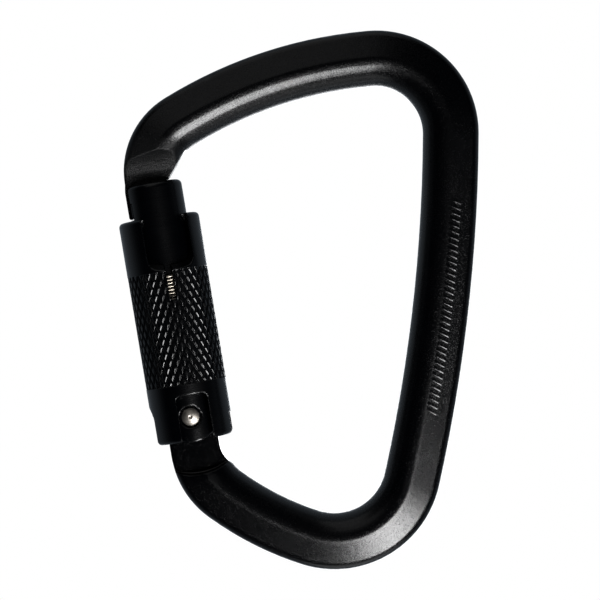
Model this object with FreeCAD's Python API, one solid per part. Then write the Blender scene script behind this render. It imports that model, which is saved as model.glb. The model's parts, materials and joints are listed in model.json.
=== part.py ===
import FreeCAD, Part
import math
import os

# Offset-D carabiner with a twist-lock sleeve on its gate. Millimetres.
# Built about the hinge pin, with the gate along +Z and the hinge along +Y, then moved so that
# the origin is where a sling bears on the top basket.

# Bar: its outer outline starts beside the gate's top, runs upward and turns clockwise round the D.
BAR_START = (-5.7, 50.1)
BAR_ARCS = [(18.0, 67.7), (97.0, 26.8), (21.5, 95.3), (350.0, 12.2), (22.5, 95.4), (70.0, 18.0)]
BAR_FOOT_RADIUS = 19.5
BAR_TAIL = 3.8
BAR_DEPTH = 11.6
RIM_HALF = 2.6
SHOULDER = (1.3, 4.5)
SHOULDER_MIDDLE = (0.4, 3.8)
RIDGE = (5.9, 5.6)

# Nose: coves milled in both cheeks leave a web, with a cross head that hooks into the gate.
NOSE_FLOOR = 52.0
COVE_MIDDLE = (3.9, 54.6)
COVE_TOP = (6.1, 56.6)
WEB_HALF = 2.5
WEB_X = (-5.95, 3.1)
WEB_BEND = 48.6
WEB_REACH = 43.2
HEAD_HALF = 3.2
HEAD_X = (-5.85, 1.6)
HEAD_TOP = 46.1
HEAD_ROUND = 5.85
NOSE_SLOPE = ((7.9, 55.3), (3.4, 50.0))

# Hinge tang, milled flat round the pin. Its second disc is a cam for the gate's plunger.
FLAT_RADIUS = 12.2
TANG_RADIUS = 4.4
CAM_OFFSET = 1.4
NECK_X = (-5.3, 4.9)
NECK_CURVE = ((4.9, -7.0), (5.5, -9.4), (7.3, -11.5))
PIN_RADIUS = 1.55
PIN_CLEARANCE = 0.05

# Gate bar
GATE_RADIUS = 6.0
GATE_TOP = 49.7
GATE_EDGE = 1.0
EAR_RADIUS = 6.05
EAR_RISE = 0.7
FORK_HALF = 2.6
FORK_ROOF = 6.0
SPOT_RADIUS = 2.3
SPOT_Y = 4.9
BORE_RADIUS = 1.85
BORE_TOP = 27.0
SLOT_HALF = 2.6
SLOT_END = 3.5
SLOT_FLOOR = 42.85
RECESS_HALF = 3.3
RECESS_END = 2.0
RECESS_TOP = 46.25

# Rivet heads
RIVET_HEAD_RADIUS = 1.9
RIVET_HEAD_RIM = 5.35
RIVET_HEAD_TOP = 5.95
DIMPLE_RADIUS = 0.35

# Plunger and gate spring
PLUNGER_RADIUS = 1.75
PLUNGER_GAP = 0.05
PLUNGER_BODY = 3.6
SPIGOT_RADIUS = 0.95
SPIGOT_LENGTH = 3.0
GATE_SPRING_RADIUS = 1.36
GATE_SPRING_WIRE = 0.2
GATE_SPRING_PITCH = 1.6

# Lock sleeve, its return spring, its foot bush and its guide pin
SLEEVE_RADIUS = 8.5
SLEEVE_Z = (-5.0, 42.3)
SLEEVE_EDGE = 0.9
SKIRT_BORE = 7.5
CHAMBER_BORE = 7.0
COLLAR_BORE = 6.1
CHAMBER_Z = (6.0, 30.4)
CUTOUT_TURN = 12.0
CUTOUT_HALF = 4.8
CUTOUT_FLOOR = 30.9
CUTOUT_SLOPE = 28.0
CUTOUT_CORNER = 1.5
SLIT_TURN = 5.2
SLIT_HALF = 0.7
SLIT_FLOOR = 24.8
# Foot notches as turn from the front, half width, top and the radius of the top's corners.
NOTCHES = [(7.0, 3.3, 4.6, 1.0), (187.0, 3.3, 4.6, 1.0), (-90.0, 3.5, 3.0, 3.4), (90.0, 2.75, -0.4, 0.7)]
GUIDE_Z = 36.0
GUIDE_RADIUS = 0.9
GUIDE_Y = (1.6, 6.7)
GROOVE_RADIUS = 7.1
GROOVE_HALF = 1.05
TWIST_RANGE = 96.0
GROOVE_END = 9.5
BUSH_Z = (6.3, 8.6)
SLEEVE_SPRING_RADIUS = 6.5
SLEEVE_SPRING_WIRE = 0.31
SLEEVE_SPRING_PITCH = 0.7
SLEEVE_SPRING_Z = (12.0, 30.1)

FAR = 14.0
X_AXIS = FreeCAD.Vector(1, 0, 0)
Y_AXIS = FreeCAD.Vector(0, 1, 0)
Z_AXIS = FreeCAD.Vector(0, 0, 1)


def point(x, z, y=0.0):
    return FreeCAD.Vector(x, y, z)


def block(x, y, z):
    """Box between pairs of limits."""
    return Part.makeBox(x[1] - x[0], y[1] - y[0], z[1] - z[0], FreeCAD.Vector(x[0], y[0], z[0]))


def disc(radius, half, x=0.0):
    """Cylinder along the hinge axis, centred on the bar's middle plane."""
    return Part.makeCylinder(radius, 2 * half, point(x, 0, -half), Y_AXIS)


def post(radius, bottom, top):
    """Cylinder along the gate axis."""
    return Part.makeCylinder(radius, top - bottom, point(0, bottom), Z_AXIS)


def plate(edges, half):
    """Closed outline in the middle plane, thickened to both sides."""
    face = Part.Face(Part.Wire(edges))
    face.translate(Y_AXIS * -half)
    return face.extrude(Y_AXIS * 2 * half)


def polyline(corners):
    """Straight edges joining points given as (x, z)."""
    ends = [point(*corner) for corner in corners]
    return [Part.makeLine(a, b) for a, b in zip(ends, ends[1:])]


def both_sides(solid):
    return [solid, solid.mirror(FreeCAD.Vector(0, 0, 0), Y_AXIS)]


def bar_section(x, z, heading):
    """Bar section whose outer rim is at (x, z): flat rim, sloping facet, ridge, round inner half."""
    angle = math.radians(heading)
    inward = FreeCAD.Vector(math.sin(angle), 0, -math.cos(angle))

    def at(depth, y):
        return point(x, z) + inward * depth + Y_AXIS * y

    (su, sy), (mu, my), (ru, ry) = SHOULDER, SHOULDER_MIDDLE, RIDGE
    edges = [
        Part.makeLine(at(0, -RIM_HALF), at(0, RIM_HALF)),
        Part.Arc(at(0, RIM_HALF), at(mu, my), at(su, sy)).toShape(),
        Part.makeLine(at(su, sy), at(ru, ry)),
        Part.Arc(at(ru, ry), at(BAR_DEPTH, 0), at(ru, -ry)).toShape(),
        Part.makeLine(at(ru, -ry), at(su, -sy)),
        Part.Arc(at(su, -sy), at(mu, -my), at(0, -RIM_HALF)).toShape(),
    ]
    return Part.Face(Part.Wire(edges))


def bar_runs():
    """The bar's bends one after another, each as (radius, turn, centre x, centre z, start)."""
    turned = sum(turn for _, turn in BAR_ARCS)
    x, z = BAR_START
    heading = 90.0
    runs = []
    for radius, turn in BAR_ARCS + [(BAR_FOOT_RADIUS, 360.0 - turned)]:
        angle = math.radians(heading)
        cx = x + radius * math.sin(angle)
        cz = z - radius * math.cos(angle)
        runs.append((radius, turn, cx, cz, (x, z, heading)))
        heading -= turn
        angle = math.radians(heading)
        x = cx - radius * math.sin(angle)
        z = cz + radius * math.cos(angle)
    return runs, (x, z, heading)


def make_bar():
    runs, tail = bar_runs()
    pieces = []
    for _, turn, cx, cz, start in runs:
        pieces.append(bar_section(*start).revolve(point(cx, cz), Y_AXIS, turn))
    pieces.append(bar_section(*tail).extrude(Z_AXIS * BAR_TAIL))
    return pieces[0].multiFuse(pieces[1:]).removeSplitter()


def nose_cutters():
    """The two milled coves and the sloping cut on the nose's inner side."""
    floor = FreeCAD.Vector(-FAR, WEB_HALF, NOSE_FLOOR)
    middle = FreeCAD.Vector(-FAR, *COVE_MIDDLE)
    top = FreeCAD.Vector(-FAR, *COVE_TOP)
    side = FreeCAD.Vector(-FAR, FAR, COVE_TOP[1])
    foot = FreeCAD.Vector(-FAR, FAR, WEB_REACH - FAR / 2)
    start = FreeCAD.Vector(-FAR, WEB_HALF, WEB_REACH - FAR / 2)
    edges = [Part.Arc(floor, middle, top).toShape()]
    edges += [Part.makeLine(a, b) for a, b in zip([top, side, foot, start], [side, foot, start, floor])]
    cove = Part.Face(Part.Wire(edges)).extrude(X_AXIS * 2 * FAR)
    high, low = NOSE_SLOPE
    corners = [high, low, (WEB_X[1], low[1] - 0.4), (WEB_X[1], 40.0), (FAR, 40.0), (FAR, high[1]), high]
    return both_sides(cove) + [plate(polyline(corners), FAR)]


def nose_web():
    """The thin web under the nose and its cross head, ending on an arc about the hinge."""
    outer, inner = WEB_X
    foot, top = WEB_REACH - 2, NOSE_FLOOR + 1
    corners = [(outer, foot), (outer, WEB_BEND), BAR_START, (0, top), (inner, top), (inner, foot)]
    web = plate(polyline(corners + corners[:1]), WEB_HALF)
    head = block(HEAD_X, (-HEAD_HALF, HEAD_HALF), (WEB_REACH - 2, HEAD_TOP + 1))
    head = head.common(post(HEAD_ROUND, WEB_REACH - 3, HEAD_TOP + 1))
    head = head.common(disc(HEAD_TOP, FAR))
    return web.fuse(head).cut(disc(WEB_REACH, FAR))


def hinge_tang():
    """Neck and round end of the tang, with the cam disc beside the pin."""
    neck = block(NECK_X, (-WEB_HALF, WEB_HALF), (-8.0, -2.0))
    cam = disc(TANG_RADIUS, WEB_HALF, CAM_OFFSET)
    flat = block((0, CAM_OFFSET), (-WEB_HALF, WEB_HALF), (-TANG_RADIUS, TANG_RADIUS))
    return neck.multiFuse([disc(TANG_RADIUS, WEB_HALF), cam, flat])


def neck_cutter():
    """Clears the inner side of the neck, where the sleeve's foot swings past."""
    start, middle, end = [point(*p) for p in NECK_CURVE]
    edges = [Part.Arc(start, middle, end).toShape()]
    corners = [NECK_CURVE[2], (FAR, NECK_CURVE[2][1]), (FAR, 2.0), (NECK_X[1], 2.0), NECK_CURVE[0]]
    return plate(edges + polyline(corners), FAR)


def make_frame():
    frame = make_bar()
    for cutter in nose_cutters():
        frame = frame.cut(cutter)
    cheek = disc(FLAT_RADIUS, FAR).cut(disc(FLAT_RADIUS + 1, WEB_HALF))
    frame = frame.cut(cheek).cut(neck_cutter())
    frame = frame.multiFuse([nose_web(), hinge_tang()]).removeSplitter()
    return frame.cut(disc(PIN_RADIUS + PIN_CLEARANCE, FAR))


def make_gate_bar():
    bar = post(GATE_RADIUS, EAR_RISE - EAR_RADIUS, GATE_TOP)
    top_edge = [e for e in bar.Edges if len(e.Vertexes) == 1 and abs(e.Vertexes[0].Z - GATE_TOP) < 0.01]
    bar = bar.makeFillet(GATE_EDGE, top_edge)
    ear = disc(EAR_RADIUS, FAR).translated(Z_AXIS * EAR_RISE)
    bar = bar.common(ear.fuse(block((-FAR, FAR), (-FAR, FAR), (EAR_RISE, GATE_TOP + 1))))
    above = block((-FAR, SLOT_END), (-SLOT_HALF, SLOT_HALF), (SLOT_FLOOR - 2, GATE_TOP + 1))
    slot = above.cut(disc(SLOT_FLOOR, FAR))
    recess = block((-FAR, RECESS_END), (-RECESS_HALF, RECESS_HALF), (SLOT_FLOOR - 2, GATE_TOP))
    recess = recess.common(disc(RECESS_TOP, FAR)).cut(disc(SLOT_FLOOR, FAR))
    fork = block((-FAR, FAR), (-FORK_HALF, FORK_HALF), (-FAR, FORK_ROOF))
    spot = Part.makeCylinder(SPOT_RADIUS, FAR, point(0, 0, SPOT_Y), Y_AXIS)
    cutters = [slot, recess, fork, post(BORE_RADIUS, 0, BORE_TOP), disc(PIN_RADIUS, FAR), guide_pin_solid()]
    for cutter in cutters + both_sides(spot):
        bar = bar.cut(cutter)
    return bar


def guide_pin_solid():
    return Part.makeCylinder(GUIDE_RADIUS, GUIDE_Y[1] - GUIDE_Y[0], point(0, GUIDE_Z, GUIDE_Y[0]), Y_AXIS)


def make_hinge_rivet():
    """Shank with a low domed head, dimpled in the middle, at each end."""
    rise = RIVET_HEAD_TOP - RIVET_HEAD_RIM
    ball = (RIVET_HEAD_RADIUS**2 + rise**2) / (2 * rise)
    dome = Part.makeSphere(ball, point(0, 0, RIVET_HEAD_TOP - ball))
    head = Part.makeCylinder(RIVET_HEAD_RADIUS, RIVET_HEAD_TOP - SPOT_Y, point(0, 0, SPOT_Y), Y_AXIS)
    head = head.common(dome)
    dimple = Part.makeSphere(DIMPLE_RADIUS, point(0, 0, RIVET_HEAD_TOP + DIMPLE_RADIUS / 2))
    return disc(PIN_RADIUS, SPOT_Y).multiFuse(both_sides(head.cut(dimple))).removeSplitter()


def make_coil(radius, wire, pitch, bottom, top):
    """Round wire wound on a helix about the gate axis."""
    height = top - bottom - 2 * wire
    helix = Part.makeHelix(pitch, height, radius)
    helix.translate(Z_AXIS * (bottom + wire))
    start = FreeCAD.Vector(radius, 0, bottom + wire)
    rise = FreeCAD.Vector(0, 2 * math.pi * radius, pitch)
    ring = Part.Wire(Part.makeCircle(wire, start, rise))
    return Part.Wire(helix).makePipeShell([ring], True, True)


def plunger_foot():
    return TANG_RADIUS + PLUNGER_GAP


def make_gate_plunger():
    shoulder = plunger_foot() + PLUNGER_BODY
    body = post(PLUNGER_RADIUS, plunger_foot(), shoulder)
    return body.fuse(post(SPIGOT_RADIUS, shoulder, shoulder + SPIGOT_LENGTH))


def make_gate_spring():
    bottom = plunger_foot() + PLUNGER_BODY + PLUNGER_GAP
    return make_coil(GATE_SPRING_RADIUS, GATE_SPRING_WIRE, GATE_SPRING_PITCH, bottom, BORE_TOP - PLUNGER_GAP)


def front_slot(turn, half, bottom, top, corner_bottom=0.0, corner_top=0.0):
    """Straight cutter through one side of the sleeve, turned from the front towards +X."""
    slot = block((-half, half), (-FAR, 0), (bottom, top))
    for radius, level in ((corner_bottom, bottom), (corner_top, top)):
        if radius:
            edges = [e for e in slot.Edges if all(abs(v.Z - level) < 0.01 for v in e.Vertexes)]
            along = [e for e in edges if abs(e.Vertexes[0].Y - e.Vertexes[1].Y) > 1]
            slot = slot.makeFillet(radius, along)
    slot.rotate(FreeCAD.Vector(0, 0, 0), Z_AXIS, turn)
    return slot


def collar_cutout(top):
    """Cutter for the collar's front opening, whose floor slopes down to the outside."""
    slot = front_slot(0.0, CUTOUT_HALF, CUTOUT_FLOOR, top + FAR, CUTOUT_CORNER)
    slot.rotate(FreeCAD.Vector(0, -SLEEVE_RADIUS, CUTOUT_FLOOR), X_AXIS, CUTOUT_SLOPE)
    slot.rotate(FreeCAD.Vector(0, 0, 0), Z_AXIS, CUTOUT_TURN)
    return slot


def guide_groove():
    """Groove inside the collar that the guide pin runs in as the sleeve turns."""
    start = 90.0 - GROOVE_END
    sweep = TWIST_RANGE + 2 * GROOVE_END
    low = GUIDE_Z - GROOVE_HALF
    wedge = Part.makeCylinder(GROOVE_RADIUS, 2 * GROOVE_HALF, point(0, low), Z_AXIS, sweep)
    wedge.rotate(FreeCAD.Vector(0, 0, 0), Z_AXIS, start)
    return wedge


def make_lock_sleeve():
    low, high = SLEEVE_Z
    sleeve = post(SLEEVE_RADIUS, low, high)
    rims = [e for e in sleeve.Edges if len(e.Vertexes) == 1 or e.isClosed()]
    rims = [e for e in rims if abs(e.CenterOfMass.z - low) < 0.01 or abs(e.CenterOfMass.z - high) < 0.01]
    sleeve = sleeve.makeFillet(SLEEVE_EDGE, rims)
    cutters = [post(SKIRT_BORE, low - 1, CHAMBER_Z[0]), post(CHAMBER_BORE, *CHAMBER_Z)]
    cutters += [post(COLLAR_BORE, low, high + 1), guide_groove()]
    cutters.append(collar_cutout(high))
    cutters.append(front_slot(SLIT_TURN, SLIT_HALF, SLIT_FLOOR, CUTOUT_FLOOR + 2))
    for turn, half, top, corner in NOTCHES:
        cutters.append(front_slot(turn, half, low - 1, top, 0.0, corner))
    for cutter in cutters:
        sleeve = sleeve.cut(cutter)
    return sleeve


def make_sleeve_bush():
    return post(CHAMBER_BORE, *BUSH_Z).cut(post(COLLAR_BORE, BUSH_Z[0] - 1, BUSH_Z[1] + 1))


def make_sleeve_spring():
    return make_coil(SLEEVE_SPRING_RADIUS, SLEEVE_SPRING_WIRE, SLEEVE_SPRING_PITCH, *SLEEVE_SPRING_Z)


def basket_top():
    """The highest point of the opening, inside the long shallow bend of the top bar."""
    radius, _, cx, cz, _ = bar_runs()[0][1]
    return point(cx, cz + radius - BAR_DEPTH)


def main():
    pieces = {
        "frame": make_frame(),
        "gate_bar": make_gate_bar(),
        "hinge_rivet": make_hinge_rivet(),
        "gate_plunger": make_gate_plunger(),
        "gate_spring": make_gate_spring(),
        "lock_sleeve": make_lock_sleeve(),
        "sleeve_bush": make_sleeve_bush(),
        "sleeve_spring": make_sleeve_spring(),
        "guide_pin": guide_pin_solid(),
    }
    os.makedirs("parts", exist_ok=True)
    origin = basket_top()
    print("hinge pin from the origin:", -origin)
    for name, shape in pieces.items():
        shape.translate(-origin)
        shape.exportStep(f"parts/{name}.step")
        print(name, shape.isValid(), len(shape.Solids), round(shape.Volume, 1))


main()
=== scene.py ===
import json
import math

import bmesh
import bpy
import numpy as np
from bpy.props import FloatProperty, FloatVectorProperty, IntProperty, PointerProperty
from mathutils import Matrix, Vector
from mathutils.bvhtree import BVHTree


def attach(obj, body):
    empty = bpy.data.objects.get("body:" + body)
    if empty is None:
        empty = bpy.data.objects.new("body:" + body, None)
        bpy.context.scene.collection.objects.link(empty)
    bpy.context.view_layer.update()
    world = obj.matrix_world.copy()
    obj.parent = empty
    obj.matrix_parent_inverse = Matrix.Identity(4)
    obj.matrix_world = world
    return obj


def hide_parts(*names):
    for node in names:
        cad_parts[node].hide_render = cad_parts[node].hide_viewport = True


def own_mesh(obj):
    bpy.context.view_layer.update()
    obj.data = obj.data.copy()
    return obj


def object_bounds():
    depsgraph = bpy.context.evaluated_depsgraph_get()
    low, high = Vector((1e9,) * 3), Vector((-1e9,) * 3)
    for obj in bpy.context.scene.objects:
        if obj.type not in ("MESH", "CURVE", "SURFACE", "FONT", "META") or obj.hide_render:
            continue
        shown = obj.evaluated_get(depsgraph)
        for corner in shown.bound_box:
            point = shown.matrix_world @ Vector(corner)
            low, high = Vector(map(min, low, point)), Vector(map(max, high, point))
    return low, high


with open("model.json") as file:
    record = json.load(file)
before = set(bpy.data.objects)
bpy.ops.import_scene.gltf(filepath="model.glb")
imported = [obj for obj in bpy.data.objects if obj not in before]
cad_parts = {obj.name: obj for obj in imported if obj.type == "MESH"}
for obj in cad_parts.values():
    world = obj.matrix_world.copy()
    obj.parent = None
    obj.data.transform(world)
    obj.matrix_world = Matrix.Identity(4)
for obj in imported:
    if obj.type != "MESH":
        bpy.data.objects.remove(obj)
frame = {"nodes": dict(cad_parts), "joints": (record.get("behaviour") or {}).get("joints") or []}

bl_info = {
    "name": "Locking Carabiner",
    "version": (1, 0, 0),
    "blender": (4, 5, 0),
    "location": "View3D > Sidebar > Carabiner",
    "description": "Finished pieces, coatings and studio for a twist-lock carabiner",
    "category": "Object",
}

MM = 0.001
CAD_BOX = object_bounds()
HINGE = Vector(next(j for j in frame["joints"] if j["name"] == "gate_swing")["pos_m"])

# Blank that the sleeve's knurl is cut from, in millimetres.
KNURL_CREST = 8.45
BLANK_RADIUS = 9.5
BLANK_OVERHANG = 20.0
BLANK_STEP = 0.1
KNURL_COLUMNS_PER_DIAMOND = 16
KNURL_GROOVE_SHARE = 0.6

# Hinge rivet: radii, and heights above the bar's middle plane, in millimetres.
RIVET_SHANK = 1.55
RIVET_RADIUS = 1.9
RIVET_SPOT = 4.9
RIVET_EDGE = 5.2
RIVET_RIM = 5.35
RIVET_TOP = 5.95
RIVET_DIMPLE = ((0, 5.67), (0.16, 5.73), (0.34, 5.92))
RIVET_DOME_POWER = 2.4
RIVET_RING_RELIEF = 0.012
RIVET_RINGS = 12
RIVET_STEPS = 64

# Row of marks: its ends from the hinge pin, its radius and its bars, in millimetres.
MARKS_START = Vector((62.3, 0, 35.8))
MARKS_END = Vector((49.7, 0, -7.9))
MARKS_CURVE = 346.0
MARK_COUNT = 36
MARK_HALF_STROKE = 0.2
MARK_LEAN = 0.42
MARK_SEARCH = 20.0

# Lift and width of a mark's rounded sides, as shares of its relief and stroke.
MARK_PROFILE = ((-0.4, 1.7), (0.1, 1.5), (0.75, 1.1), (1.0, 0.6))

# Parts of the bar with their own finish, in millimetres from the hinge pin.
SCOOP = Vector((0.5, -2.0, 53.6))
NECK = Vector((0.4, -3.0, -7.0))
PATCH_REACH = 8.0
PATCH_FADE = 3.0

SMOOTHING_PASSES = 2
BLACK_ANODISE = (0.001, 0.0013, 0.0022)
ANODISE_ROUGHNESS = 0.27

# Middle of the picture, in millimetres from the hinge pin; the floor and camera are in metres.
PICTURE_MIDDLE = Vector((26.6, 0, 20.3))
FLOOR_REACH = 4.0
FLOOR_GLOW = 0.8
CAMERA_CLIP = 0.01
SURROUND_TINT = (0.8, 0.9, 1.0)

# How far a direction points back (its Y) where the surround starts to glow, and where it glows fully.
SURROUND_START = -0.4
SURROUND_FULL = 0.35


class CoatingSettings(bpy.types.PropertyGroup):
    tint: FloatVectorProperty(
        name="Coating tint", description="Colour of the black coating", subtype="COLOR",
        default=(0.0011, 0.0013, 0.002), min=0.0, max=1.0)
    grain: FloatProperty(
        name="Grain size", description="Size of the coating's fine grain", default=0.26 * MM,
        unit="LENGTH")
    relief: FloatProperty(
        name="Grain relief", description="Height of the coating's grain", default=0.022 * MM, unit="LENGTH")
    gloss: FloatProperty(
        name="Roughness", description="Roughness of the coating between its grains", default=0.24, min=0.0,
        max=1.0)


class RoundingSettings(bpy.types.PropertyGroup):
    bar_cell: FloatProperty(
        name="Bar cell", description="Mesh cell that the bar's edges are rounded with", default=0.3 * MM,
        unit="LENGTH")
    gate_cell: FloatProperty(
        name="Gate cell", description="Mesh cell that the gate's edges are rounded with",
        default=0.22 * MM, unit="LENGTH")
    sleeve_cell: FloatProperty(
        name="Sleeve cell", description="Mesh cell that the sleeve's edges are rounded with",
        default=0.22 * MM, unit="LENGTH")


class KnurlSettings(bpy.types.PropertyGroup):
    diamonds: IntProperty(
        name="Diamonds", description="Knurl diamonds round the sleeve", default=32, min=8, max=80)
    length: FloatProperty(
        name="Diamond length", description="Length of a diamond along the sleeve", default=3.06 * MM,
        unit="LENGTH")
    depth: FloatProperty(
        name="Depth", description="Depth of the knurl's grooves", default=0.3 * MM, unit="LENGTH")
    bottom: FloatProperty(
        name="Bottom", description="Lower end of the knurled band above the hinge", default=6.9 * MM,
        unit="LENGTH")
    top: FloatProperty(
        name="Top", description="Upper end of the knurled band above the hinge", default=30.9 * MM,
        unit="LENGTH")


class MarkSettings(bpy.types.PropertyGroup):
    height: FloatProperty(
        name="Mark height", description="Height of a raised mark across the bar", default=2.1 * MM,
        unit="LENGTH")
    relief: FloatProperty(
        name="Relief", description="How far the marks stand out of the bar", default=0.24 * MM,
        unit="LENGTH")


class StageSettings(bpy.types.PropertyGroup):
    distance: FloatProperty(
        name="Camera distance", description="Camera to the carabiner's middle plane", default=0.55,
        unit="LENGTH")
    lean: FloatProperty(
        name="Gate lean", description="Lean of the gate to the left in the picture",
        default=math.radians(9.5), subtype="ANGLE", unit="ROTATION")
    width: FloatProperty(
        name="Picture width", description="Width of the picture at the middle plane", default=126.6 * MM,
        unit="LENGTH")
    key: FloatProperty(
        name="Key light", description="Power of the light below on the right", default=2.25,
        unit="POWER")
    key_turn: FloatProperty(
        name="Key turn", description="Direction of the key light, up from the picture's right",
        default=math.radians(-58), subtype="ANGLE", unit="ROTATION")
    key_tilt: FloatProperty(
        name="Key tilt", description="Angle of the key light away from the camera",
        default=math.radians(37), subtype="ANGLE", unit="ROTATION")
    back: FloatProperty(
        name="Back light", description="Power of the light behind", default=0.8, unit="POWER")
    fill: FloatProperty(
        name="Top light", description="Power of the dim light above", default=0.085, unit="POWER")
    ceiling: FloatProperty(
        name="Ceiling light", description="Power of the light overhead", default=0.35, unit="POWER")
    under: FloatProperty(
        name="Under light", description="Power of the light from underneath", default=0.45, unit="POWER")
    surround: FloatProperty(
        name="Surround", description="Brightness of the pale surround in reflections", default=0.5,
        min=0.0)
    contrast: FloatProperty(
        name="Tone curve", description="Gamma of the picture; lower deepens the blacks", default=0.75,
        min=0.3, max=1.0)
    floor_drop: FloatProperty(
        name="Floor drop", description="Distance of the floor below the carabiner", default=0.6,
        unit="LENGTH")


class CarabinerSettings(bpy.types.PropertyGroup):
    coating: PointerProperty(type=CoatingSettings)
    rounding: PointerProperty(type=RoundingSettings)
    knurl: PointerProperty(type=KnurlSettings)
    marks: PointerProperty(type=MarkSettings)
    stage: PointerProperty(type=StageSettings)


# Shader maths

# Places of the colour sockets among a Mix node's inputs and outputs.
MIX_FACTOR = 0
MIX_FIRST = 6
MIX_SECOND = 7
MIX_RESULT = 2


class Value:
    """A node's output that takes part in arithmetic, each operation adding a Math node."""

    def __init__(self, graph, socket):
        self.graph = graph
        self.socket = socket

    def math(self, operation, *operands):
        return self.graph.math(operation, self, *operands)

    def __add__(self, other):
        return self.graph.math("ADD", self, other)

    def __radd__(self, other):
        return self.graph.math("ADD", other, self)

    def __sub__(self, other):
        return self.graph.math("SUBTRACT", self, other)

    def __rsub__(self, other):
        return self.graph.math("SUBTRACT", other, self)

    def __mul__(self, other):
        return self.graph.math("MULTIPLY", self, other)

    def __rmul__(self, other):
        return self.graph.math("MULTIPLY", other, self)


class Graph:
    """Node tree of one material or of the world."""

    def __init__(self, tree):
        self.tree = tree
        tree.nodes.clear()

    def node(self, kind, settings=None, values=None):
        """Adds a node, sets it up, then gives its sockets values or links."""
        made = self.tree.nodes.new(kind)
        for name, setting in (settings or {}).items():
            setattr(made, name, setting)
        for name, value in (values or {}).items():
            socket = made.inputs[name]
            if isinstance(value, Value):
                self.tree.links.new(value.socket, socket)
            else:
                socket.default_value = value
        return made

    def out(self, node, name):
        return Value(self, node.outputs[name])

    def math(self, operation, *operands):
        made = self.node("ShaderNodeMath", {"operation": operation}, dict(enumerate(operands)))
        return self.out(made, "Value")

    def coordinates(self):
        return self.out(self.node("ShaderNodeTexCoord"), "Object")

    def vector(self, operation, first, second):
        made = self.node("ShaderNodeVectorMath", {"operation": operation}, {0: first, 1: second})
        return self.out(made, "Vector")

    def noise(self, where, size, detail=2.0, stretch=None):
        """Noise whose features are about size metres across, stretched along some axes if asked."""
        if stretch:
            where = self.vector("MULTIPLY", where, stretch)
        made = self.node(
            "ShaderNodeTexNoise", None, {"Vector": where, "Scale": 1.0 / size, "Detail": detail})
        return self.out(made, "Fac")

    def cells(self, where, size):
        """A random grey for each of many small cells."""
        made = self.node("ShaderNodeTexVoronoi", None, {"Vector": where, "Scale": 1.0 / size})
        parts = self.node("ShaderNodeSeparateColor", None, {"Color": self.out(made, "Color")})
        return self.out(parts, "Red")

    def near(self, where, centre):
        """1 round a point given in millimetres from the hinge, fading to 0 at the patch's reach."""
        offset = self.node(
            "ShaderNodeVectorMath", {"operation": "DISTANCE"}, {0: where, 1: HINGE + centre * MM})
        return self.smooth_step(
            self.out(offset, "Value"), PATCH_REACH * MM, (PATCH_REACH - PATCH_FADE) * MM, 1.0)

    def smooth_step(self, value, start, full, top):
        """0 at the start, rising smoothly to top."""
        made = self.node("ShaderNodeMapRange", {"interpolation_type": "SMOOTHSTEP"}, {
            "Value": value, "From Min": start, "From Max": full, "To Min": 0.0, "To Max": top})
        return self.out(made, "Result")

    def mix(self, share, first, second):
        """Blend of two fixed colours."""
        values = {MIX_FACTOR: share, MIX_FIRST: (*first, 1.0), MIX_SECOND: (*second, 1.0)}
        return self.out(self.node("ShaderNodeMix", {"data_type": "RGBA"}, values), MIX_RESULT)

    def bump(self, height, distance):
        values = {"Height": height, "Distance": distance, "Strength": 1.0}
        return self.out(self.node("ShaderNodeBump", None, values), "Normal")

    def surface(self, values):
        shader = self.node("ShaderNodeBsdfPrincipled", None, values)
        output = self.node("ShaderNodeOutputMaterial")
        self.tree.links.new(shader.outputs["BSDF"], output.inputs["Surface"])


def new_material(name):
    material = bpy.data.materials.new(name)
    material.use_nodes = True
    return material, Graph(material.node_tree)


def forged_coating(settings):
    """Semi-gloss black coat with fine grain, duller in the scoop and smoother on the milled neck."""
    material, g = new_material("forged_coating")
    where = g.coordinates()
    grain = g.noise(where, settings.grain, 3.0)
    flakes = g.cells(where, settings.grain * 0.6)
    patches = g.noise(where, 9 * MM, 4.0)
    tint = Vector(settings.tint)
    colour = g.mix(patches * 0.6 + grain * 0.4, tint * 0.8, tint * 1.25)
    scooped = g.near(where, SCOOP)
    milled = g.near(where, NECK)
    height = (grain + flakes * 0.35) * (scooped * 4.0 + 1.0 - milled * 0.5)
    roughness = patches * 0.04 + flakes * 0.08 + scooped * 0.2 - milled * 0.09 + (settings.gloss - 0.06)
    g.surface({"Base Color": colour, "Roughness": roughness, "Normal": g.bump(height, settings.relief)})
    return material


def satin_anodise(name):
    """Turned and anodised black aluminium, with faint lines left round it by the lathe."""
    material, g = new_material(name)
    where = g.coordinates()
    lines = g.noise(where, 0.3 * MM, 2.0, (0.03, 0.03, 1.0))
    grain = g.noise(where, 0.12 * MM, 2.0)
    patches = g.noise(where, 5 * MM, 3.0)
    tint = Vector(BLACK_ANODISE)
    colour = g.mix(patches, tint * 0.8, tint * 1.2)
    height = lines * 0.2 + grain * 0.5
    roughness = lines * 0.06 + patches * 0.08 + (ANODISE_ROUGHNESS - 0.07)
    g.surface({"Base Color": colour, "Roughness": roughness, "Normal": g.bump(height, 0.008 * MM)})
    return material


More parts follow.
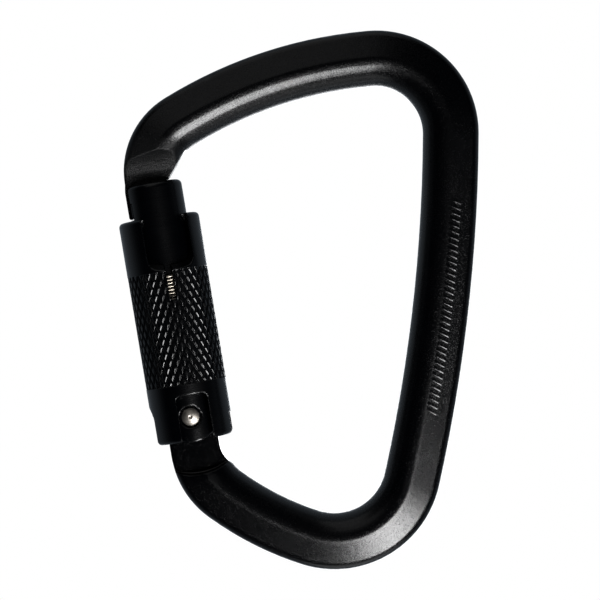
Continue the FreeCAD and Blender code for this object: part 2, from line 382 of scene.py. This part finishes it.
def turned_steel():
    """Bright rivet steel with rings from the lathe round the rivet's axis."""
    material, g = new_material("turned_steel")
    where = g.coordinates()
    flat = g.vector("MULTIPLY", g.vector("SUBTRACT", where, HINGE), (1, 0, 1))
    radius = g.out(g.node("ShaderNodeVectorMath", {"operation": "LENGTH"}, {0: flat}), "Value")
    ring_pitch = 0.22 * MM
    rings = (radius * (2 * math.pi / ring_pitch)).math("SINE")
    stains = g.noise(where, 0.9 * MM, 4.0)
    scratches = g.noise(where, 0.08 * MM, 2.0)
    colour = g.mix(stains, (0.34, 0.315, 0.285), (0.58, 0.555, 0.52))
    roughness = stains * 0.15 + scratches * 0.1 + 0.36
    height = rings * 0.3 + scratches * 0.4
    g.surface({
        "Base Color": colour, "Metallic": 1.0, "Roughness": roughness,
        "Normal": g.bump(height, 0.012 * MM)})
    return material


def drawn_steel(name, tint, size):
    """Drawn wire or ground pin, faintly mottled."""
    material, g = new_material(name)
    where = g.coordinates()
    mottle = g.noise(where, size, 3.0)
    scratches = g.noise(where, size * 0.1, 2.0)
    tint = Vector(tint)
    colour = g.mix(mottle, tint * 0.75, tint)
    g.surface({
        "Base Color": colour, "Metallic": 1.0, "Roughness": mottle * 0.15 + scratches * 0.1 + 0.22,
        "Normal": g.bump(scratches, 0.004 * MM)})
    return material


def moulded_plastic():
    """Matt black bush."""
    material, g = new_material("moulded_plastic")
    where = g.coordinates()
    pebble = g.noise(where, 0.2 * MM, 3.0)
    g.surface({
        "Base Color": g.mix(pebble, (0.02, 0.02, 0.02), (0.035, 0.035, 0.035)),
        "Roughness": pebble * 0.15 + 0.5, "Normal": g.bump(pebble, 0.01 * MM)})
    return material


# Mesh work

def new_piece(name, mesh):
    piece = bpy.data.objects.new(name, mesh)
    bpy.context.scene.collection.objects.link(piece)
    return piece


def settle(piece):
    """Turns a piece's modifiers into its mesh."""
    graph = bpy.context.evaluated_depsgraph_get()
    mesh = bpy.data.meshes.new_from_object(piece.evaluated_get(graph))
    piece.modifiers.clear()
    piece.data = mesh


def finish_surface(piece, material):
    piece.data.materials.clear()
    piece.data.materials.append(material)
    piece.data.shade_smooth()


def rounded_copy(node, name, cell):
    """A node's shape remeshed in small cells, fitted back and smoothed, so that its edges are rounded."""
    mesh = frame["nodes"][node].data.copy()
    welded = bmesh.new()
    welded.from_mesh(mesh)
    bmesh.ops.remove_doubles(welded, verts=welded.verts, dist=1e-3 * MM)
    welded.to_mesh(mesh)
    welded.free()
    piece = new_piece(name, mesh)
    remesh = piece.modifiers.new("cells", "REMESH")
    remesh.mode = "VOXEL"
    remesh.voxel_size = cell
    fit = piece.modifiers.new("fit", "SHRINKWRAP")
    fit.target = frame["nodes"][node]
    fit.wrap_method = "NEAREST_SURFACEPOINT"
    smooth = piece.modifiers.new("soften", "SMOOTH")
    smooth.factor = 0.5
    smooth.iterations = SMOOTHING_PASSES
    settle(piece)
    return piece


def lathe(profile, name, steps, place):
    """Closed solid turned about Z from (radius, height) pairs that start and end on the axis."""
    turned = bmesh.new()
    ends = [turned.verts.new(place @ Vector((0, 0, profile[i][1]))) for i in (0, -1)]
    angles = [2 * math.pi * i / steps for i in range(steps)]
    rings = []
    for radius, height in profile[1:-1]:
        points = [Vector((radius * math.cos(a), radius * math.sin(a), height)) for a in angles]
        rings.append([turned.verts.new(place @ point) for point in points])
    for i in range(steps):
        j = (i + 1) % steps
        turned.faces.new((ends[0], rings[0][j], rings[0][i]))
        turned.faces.new((ends[1], rings[-1][i], rings[-1][j]))
        for low, high in zip(rings, rings[1:]):
            turned.faces.new((low[i], low[j], high[j], high[i]))
    mesh = bpy.data.meshes.new(name)
    turned.to_mesh(mesh)
    turned.free()
    return mesh


def knurl_height(columns, rows):
    """Height of the diamonds, 0 in the crossing grooves and 1 on the rounded crests."""
    first = 1 - np.abs(2 * np.mod(columns + rows, 1.0) - 1)
    second = 1 - np.abs(2 * np.mod(columns - rows, 1.0) - 1)
    flank = np.clip(np.minimum(first, second) / KNURL_GROOVE_SHARE, 0.0, 1.0)
    return flank * (2 - flank)


def knurled_blank(settings):
    """A long cylinder, wide but for the knurled band, whose diamonds are real geometry."""
    around = settings.diamonds * KNURL_COLUMNS_PER_DIAMOND
    step = settings.length / KNURL_COLUMNS_PER_DIAMOND
    count = int((settings.top - settings.bottom) / step)
    levels = [settings.bottom + step * i for i in range(count + 1)]
    plain = [np.full(around, BLANK_RADIUS * MM)] * 2
    crest = KNURL_CREST * MM
    angles = np.arange(around) * 2 * math.pi / around
    below = [levels[0] - BLANK_OVERHANG * MM, levels[0] - BLANK_STEP * MM]
    above = [levels[-1] + BLANK_STEP * MM, levels[-1] + BLANK_OVERHANG * MM]
    heights = below + levels + above
    radii = list(plain)
    for level in levels:
        shape = knurl_height(np.arange(around) / KNURL_COLUMNS_PER_DIAMOND, level / settings.length)
        radii.append(crest - settings.depth * (1 - shape))
    radii += plain
    points = [np.stack((r * np.cos(angles), r * np.sin(angles), np.full(around, z)), 1)
              for r, z in zip(radii, heights)]
    points = np.concatenate(points) + np.array(HINGE)
    rows = len(heights)
    faces = []
    for row in range(rows - 1):
        for i in range(around):
            j = (i + 1) % around
            low, high = row * around, (row + 1) * around
            faces.append((low + i, low + j, high + j, high + i))
    faces.append(tuple(reversed(range(around))))
    faces.append(tuple((rows - 1) * around + i for i in range(around)))
    mesh = bpy.data.meshes.new("knurled_blank")
    mesh.from_pydata(points.tolist(), [], faces)
    return new_piece("knurled_blank", mesh)


def spine_point(share):
    """Place on the marks' gently curved line, and its direction there, at a share of its length."""
    chord = MARKS_END - MARKS_START
    half_turn = math.asin(chord.length / 2 / MARKS_CURVE)
    turn = half_turn * (2 * share - 1)
    outward = Vector((-chord.z, 0, chord.x)).normalized()
    forward = chord.normalized()
    rise = MARKS_CURVE * (math.cos(turn) - math.cos(half_turn))
    middle = (MARKS_START + MARKS_END) / 2
    place = middle + forward * (MARKS_CURVE * math.sin(turn)) + outward * rise
    return HINGE + place * MM, forward * math.cos(turn) - outward * math.sin(turn)


def mark_outline(height):
    """Outline of a slanted bar, in metres along and across the line."""
    half = height / 2
    stroke = MARK_HALF_STROKE * MM
    lean = MARK_LEAN * MM
    return [(-lean - stroke, -half), (-lean + stroke, -half), (lean + stroke, half), (lean - stroke, half)]


def make_marks(settings, surface):
    """A row of plain slanted bars standing out of the spine."""
    outline = mark_outline(settings.height)
    tree = BVHTree.FromObject(surface, bpy.context.evaluated_depsgraph_get())
    made = bmesh.new()
    for index in range(MARK_COUNT):
        centre, along = spine_point((index + 0.5) / MARK_COUNT)
        in_front = centre - Vector((0, MARK_SEARCH * MM, 0))
        hit, normal, _, _ = tree.ray_cast(in_front, Vector((0, 1, 0)))
        across = normal.cross(along).normalized()
        along = across.cross(normal).normalized()
        rings = []
        for lift, size in MARK_PROFILE:
            lifted = hit + normal * (settings.relief * lift)
            length = 0.8 + 0.2 * size
            rings.append([made.verts.new(lifted + along * (a * size) + across * (b * length))
                          for a, b in outline])
        for low, high in zip(rings, rings[1:]):
            for i in range(len(low)):
                j = (i + 1) % len(low)
                made.faces.new((low[i], low[j], high[j], high[i]))
        made.faces.new(rings[-1])
        made.faces.new(reversed(rings[0]))
    bmesh.ops.recalc_face_normals(made, faces=made.faces)
    mesh = bpy.data.meshes.new("spine_marks")
    made.to_mesh(mesh)
    made.free()
    return new_piece("spine_marks", mesh)


# Operators

class CARABINER_OT_forged_bar(bpy.types.Operator):
    """Make the forged bar with softly rounded edges and its coating"""

    bl_idname = "carabiner.forged_bar"
    bl_label = "Forged bar"

    def execute(self, context):
        settings = context.scene.carabiner
        bar = rounded_copy("frame", "forged_bar", settings.rounding.bar_cell)
        finish_surface(bar, forged_coating(settings.coating))
        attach(bar, "frame")
        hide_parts("frame")
        return {"FINISHED"}


class CARABINER_OT_spine_marks(bpy.types.Operator):
    """Make the line of plain raised marks on the spine"""

    bl_idname = "carabiner.spine_marks"
    bl_label = "Spine marks"

    def execute(self, context):
        settings = context.scene.carabiner
        bar = bpy.data.objects["forged_bar"]
        marks = make_marks(settings.marks, bar)
        marks.data.materials.append(bar.data.materials[0])
        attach(marks, "frame")
        return {"FINISHED"}


class CARABINER_OT_gate(bpy.types.Operator):
    """Make the gate bar with its slot, fork and soft edges"""

    bl_idname = "carabiner.gate"
    bl_label = "Gate"

    def execute(self, context):
        settings = context.scene.carabiner
        gate = rounded_copy("gate_bar", "gate_body", settings.rounding.gate_cell)
        finish_surface(gate, satin_anodise("gate_anodise"))
        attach(gate, "gate")
        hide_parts("gate_bar")
        return {"FINISHED"}


class CARABINER_OT_sleeve(bpy.types.Operator):
    """Make the twist sleeve and cut its knurl"""

    bl_idname = "carabiner.sleeve"
    bl_label = "Lock sleeve"

    def execute(self, context):
        settings = context.scene.carabiner
        sleeve = rounded_copy("lock_sleeve", "twist_sleeve", settings.rounding.sleeve_cell)
        blank = knurled_blank(settings.knurl)
        cut = sleeve.modifiers.new("knurl", "BOOLEAN")
        cut.operation = "INTERSECT"
        cut.solver = "MANIFOLD"
        cut.object = blank
        settle(sleeve)
        bpy.data.objects.remove(blank)
        finish_surface(sleeve, satin_anodise("sleeve_anodise"))
        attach(sleeve, "sleeve")
        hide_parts("lock_sleeve")
        return {"FINISHED"}


class CARABINER_OT_rivet(bpy.types.Operator):
    """Make the hinge rivet with its dimpled, ringed heads"""

    bl_idname = "carabiner.rivet"
    bl_label = "Hinge rivet"

    def execute(self, context):
        half = list(RIVET_DIMPLE)
        inner = RIVET_DIMPLE[-1][0]
        for i in range(1, RIVET_RINGS + 1):
            radius = inner + (RIVET_RADIUS - inner) * i / RIVET_RINGS
            rise = (RIVET_TOP - RIVET_RIM) * (1 - (radius / RIVET_RADIUS) ** RIVET_DOME_POWER)
            ring = RIVET_RING_RELIEF if i % 2 else -RIVET_RING_RELIEF
            half.append((radius, RIVET_RIM + rise + ring))
        half += [(RIVET_RADIUS, RIVET_EDGE), (RIVET_RADIUS, RIVET_SPOT), (RIVET_SHANK, RIVET_SPOT)]
        profile = [(r * MM, h * MM) for r, h in half]
        profile += [(r, -h) for r, h in reversed(profile)]
        place = Matrix.Translation(HINGE) @ Matrix.Rotation(math.radians(90), 4, "X")
        rivet = new_piece("rivet", lathe(list(reversed(profile)), "rivet", RIVET_STEPS, place))
        finish_surface(rivet, turned_steel())
        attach(rivet, "gate")
        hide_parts("hinge_rivet")
        return {"FINISHED"}


class CARABINER_OT_inner_works(bpy.types.Operator):
    """Make the gate's coil and finish the other inner pieces"""

    bl_idname = "carabiner.inner_works"
    bl_label = "Springs and pins"

    def execute(self, context):
        wire = drawn_steel("spring_wire", (0.27, 0.25, 0.22), 0.6 * MM)
        pin = drawn_steel("ground_pin", (0.62, 0.62, 0.6), 1.2 * MM)
        coil = new_piece("gate_coil", frame["nodes"]["gate_spring"].data.copy())
        finish_surface(coil, wire)
        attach(coil, "gate")
        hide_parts("gate_spring")
        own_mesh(coil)
        finishes = {
            "sleeve_spring": wire, "gate_plunger": pin, "guide_pin": pin,
            "sleeve_bush": moulded_plastic()}
        for node, material in finishes.items():
            frame["nodes"][node].material_slots[0].material = material
        return {"FINISHED"}


def picture_axes(lean):
    """The picture's right and up directions."""
    right = Vector((math.cos(lean), 0, -math.sin(lean)))
    up = Vector((math.sin(lean), 0, math.cos(lean)))
    return right, up


def toward(lean, turn, tilt):
    """Direction tilted away from the camera's, turned up from the picture's right."""
    right, up = picture_axes(lean)
    sideways = right * math.cos(turn) + up * math.sin(turn)
    return Vector((0, -1, 0)) * math.cos(tilt) + sideways * math.sin(tilt)


def area_light(name, direction, distance, size, power, target):
    """Soft light facing the target, its size given across and along the way it is tilted."""
    light = bpy.data.lights.new(name, "AREA")
    light.shape = "ELLIPSE"
    light.size, light.size_y = size
    light.energy = power
    lamp = bpy.data.objects.new(name, light)
    lamp.location = target + direction * distance
    across = direction.cross(Vector((0, -1, 0))).normalized()
    lamp.rotation_mode = "QUATERNION"
    turn = Matrix((across, direction.cross(across), direction)).transposed()
    lamp.rotation_quaternion = turn.to_quaternion()
    lamp.visible_camera = False
    bpy.context.scene.collection.objects.link(lamp)


class CARABINER_OT_stage(bpy.types.Operator):
    """Make the pale floor, the white surround, the lights and the camera"""

    bl_idname = "carabiner.stage"
    bl_label = "Studio"

    def execute(self, context):
        scene = context.scene
        settings = scene.carabiner.stage
        scene.view_settings.view_transform = "Standard"
        scene.view_settings.gamma = settings.contrast
        target = HINGE + PICTURE_MIDDLE * MM
        self.make_floor(settings, target)
        self.make_surround(scene, settings)
        # Name, turn and tilt, distance, size across and along the tilt, power.
        lights = (
            ("key_light", settings.key_turn, settings.key_tilt, 0.4, (0.14, 0.27), settings.key),
            ("back_light", settings.key_turn, math.radians(164), 0.45, (0.3, 0.3), settings.back),
            ("ceiling_light", math.radians(100), math.radians(75), 0.5, (0.5, 0.4), settings.ceiling),
            ("under_light", math.radians(-78), math.radians(88), 0.4, (0.4, 0.3), settings.under),
            ("top_light", math.radians(112), math.radians(42), 0.36, (0.26, 0.2), settings.fill))
        for name, turn, tilt, distance, size, power in lights:
            area_light(name, toward(settings.lean, turn, tilt), distance, size, power, target)
        self.make_camera(scene, settings, target)
        return {"FINISHED"}

    def make_floor(self, settings, target):
        mesh = bpy.data.meshes.new("floor")
        level = CAD_BOX[0].z - settings.floor_drop
        reach = FLOOR_REACH
        corners = [(-reach, -reach), (reach, -reach), (reach, reach), (-reach, reach)]
        mesh.from_pydata([(x + target.x, y, level) for x, y in corners], [], [(0, 1, 2, 3)])
        floor = new_piece("floor", mesh)
        material, g = new_material("pale_floor")
        patches = g.noise(g.coordinates(), 0.4, 2.0)
        g.surface({
            "Base Color": g.mix(patches, (0.9, 0.9, 0.9), (0.92, 0.92, 0.92)), "Roughness": 0.8,
            "Emission Color": (1.0, 1.0, 1.0, 1.0), "Emission Strength": FLOOR_GLOW})
        mesh.materials.append(material)
        floor.visible_glossy = False
        floor.visible_diffuse = False

    def make_surround(self, scene, settings):
        """White to the eye everywhere; in reflections pale behind the carabiner and dark in front."""
        world = bpy.data.worlds.new("studio")
        scene.world = world
        world.use_nodes = True
        g = Graph(world.node_tree)
        direction = g.out(g.node("ShaderNodeTexCoord"), "Generated")
        parts = g.node("ShaderNodeSeparateXYZ", None, {"Vector": direction})
        glow = g.smooth_step(g.out(parts, "Y"), SURROUND_START, SURROUND_FULL, settings.surround)
        seen = g.out(g.node("ShaderNodeLightPath"), "Is Camera Ray")
        tinted = g.mix(seen, SURROUND_TINT, (1.0, 1.0, 1.0))
        strength = seen.math("MAXIMUM", glow)
        shader = g.node("ShaderNodeBackground", None, {"Color": tinted, "Strength": strength})
        output = g.node("ShaderNodeOutputWorld")
        g.tree.links.new(shader.outputs["Background"], output.inputs["Surface"])

    def make_camera(self, scene, settings, target):
        data = bpy.data.cameras.new("camera")
        data.lens = data.sensor_width * settings.distance / settings.width
        data.clip_start = CAMERA_CLIP
        camera = bpy.data.objects.new("camera", data)
        camera.location = target - Vector((0, settings.distance, 0))
        right, up = picture_axes(settings.lean)
        turn = Matrix((right, up, right.cross(up))).transposed()
        camera.rotation_mode = "QUATERNION"
        camera.rotation_quaternion = turn.to_quaternion()
        scene.collection.objects.link(camera)
        scene.camera = camera


OPERATORS = (
    CARABINER_OT_forged_bar, CARABINER_OT_spine_marks, CARABINER_OT_gate, CARABINER_OT_sleeve,
    CARABINER_OT_rivet, CARABINER_OT_inner_works, CARABINER_OT_stage)


class CARABINER_PT_pieces(bpy.types.Panel):
    """Lists the carabiner's pieces and the studio"""

    bl_idname = "CARABINER_PT_pieces"
    bl_label = "Carabiner"
    bl_space_type = "VIEW_3D"
    bl_region_type = "UI"
    bl_category = "Carabiner"

    def draw(self, context):
        for operator in OPERATORS:
            self.layout.operator(operator.bl_idname)


CLASSES = (
    CoatingSettings, RoundingSettings, KnurlSettings, MarkSettings, StageSettings, CarabinerSettings,
    *OPERATORS, CARABINER_PT_pieces)


def register():
    for cls in CLASSES:
        bpy.utils.register_class(cls)
    bpy.types.Scene.carabiner = PointerProperty(type=CarabinerSettings)


def unregister():
    del bpy.types.Scene.carabiner
    for cls in reversed(CLASSES):
        bpy.utils.unregister_class(cls)


def main():
    register()
    bpy.ops.carabiner.forged_bar()
    bpy.ops.carabiner.spine_marks()
    bpy.ops.carabiner.gate()
    bpy.ops.carabiner.sleeve()
    bpy.ops.carabiner.rivet()
    bpy.ops.carabiner.inner_works()
    bpy.ops.carabiner.stage()


if __name__ == "__main__":
    main()
